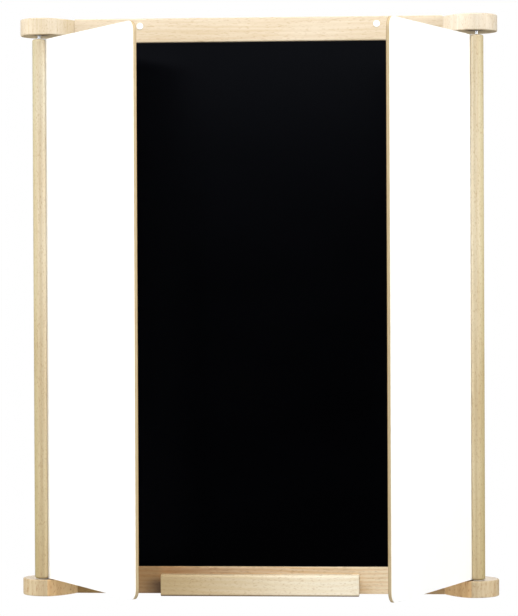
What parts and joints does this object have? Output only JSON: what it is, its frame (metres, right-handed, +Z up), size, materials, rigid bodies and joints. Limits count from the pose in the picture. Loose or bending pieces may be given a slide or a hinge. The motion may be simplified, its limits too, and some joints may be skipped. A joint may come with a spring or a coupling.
{
  "type": "tri-fold drawing board",
  "caption": "Wall-hung tri-fold drawing board: a chalkboard between beech rails with a chalk tray, and a white wing panel turning on a post at each side.",
  "frame": {"origin": "on the wall, midway between the two wall screws of the top rail", "axes": "+X to the right, +Y into the wall, +Z up; the chalkboard faces -Y"},
  "size_m": [0.868, 0.4373, 1.054],
  "materials": {
    "beech_rail": "oiled beech, long grain along the length",
    "beech_block": "oiled beech, grain upright",
    "beech_post": "oiled beech, grain upright",
    "plywood": "bare birch plywood, layers showing at the edges",
    "white_laminate": "smooth white writing laminate",
    "chalk_surface": "matt black chalk enamel",
    "board_core": "raw fibreboard",
    "steel": "bright steel",
    "nylon": "natural nylon",
    "white_plastic": "white moulded plastic"
  },
  "bodies": {
    "frame": {"top_rail": "beech_rail", "bottom_rail": "beech_rail", "chalk_tray": "beech_rail", "top_left_end_block": "beech_block", "top_right_end_block": "beech_block", "bottom_left_end_block": "beech_block", "bottom_right_end_block": "beech_block", "end_block_dowels": "beech_rail", "pivot_bushes": "nylon", "thrust_washers": "nylon", "chalkboard_face": "chalk_surface", "chalkboard_core": "board_core", "tray_screws": "steel", "wall_screw_caps": "white_plastic"},
    "left_wing": {"left_post": "beech_post", "left_panel_core": "plywood", "left_outer_laminate": "white_laminate", "left_inner_laminate": "white_laminate", "left_pivot_pins": "steel", "left_panel_screws": "steel"},
    "right_wing": {"right_post": "beech_post", "right_panel_core": "plywood", "right_outer_laminate": "white_laminate", "right_inner_laminate": "white_laminate", "right_pivot_pins": "steel", "right_panel_screws": "steel"}
  },
  "joints": [
    {"name": "left_wing_swing", "type": "hinge", "parent": "frame", "child": "left_wing", "pos_m": [-0.396, -0.072, -0.5], "axis": [0, 0, -1], "range_deg": [-59, 121]},
    {"name": "right_wing_swing", "type": "hinge", "parent": "frame", "child": "right_wing", "pos_m": [0.396, -0.072, -0.5], "axis": [0, 0, 1], "range_deg": [-69, 111]}
  ]
}
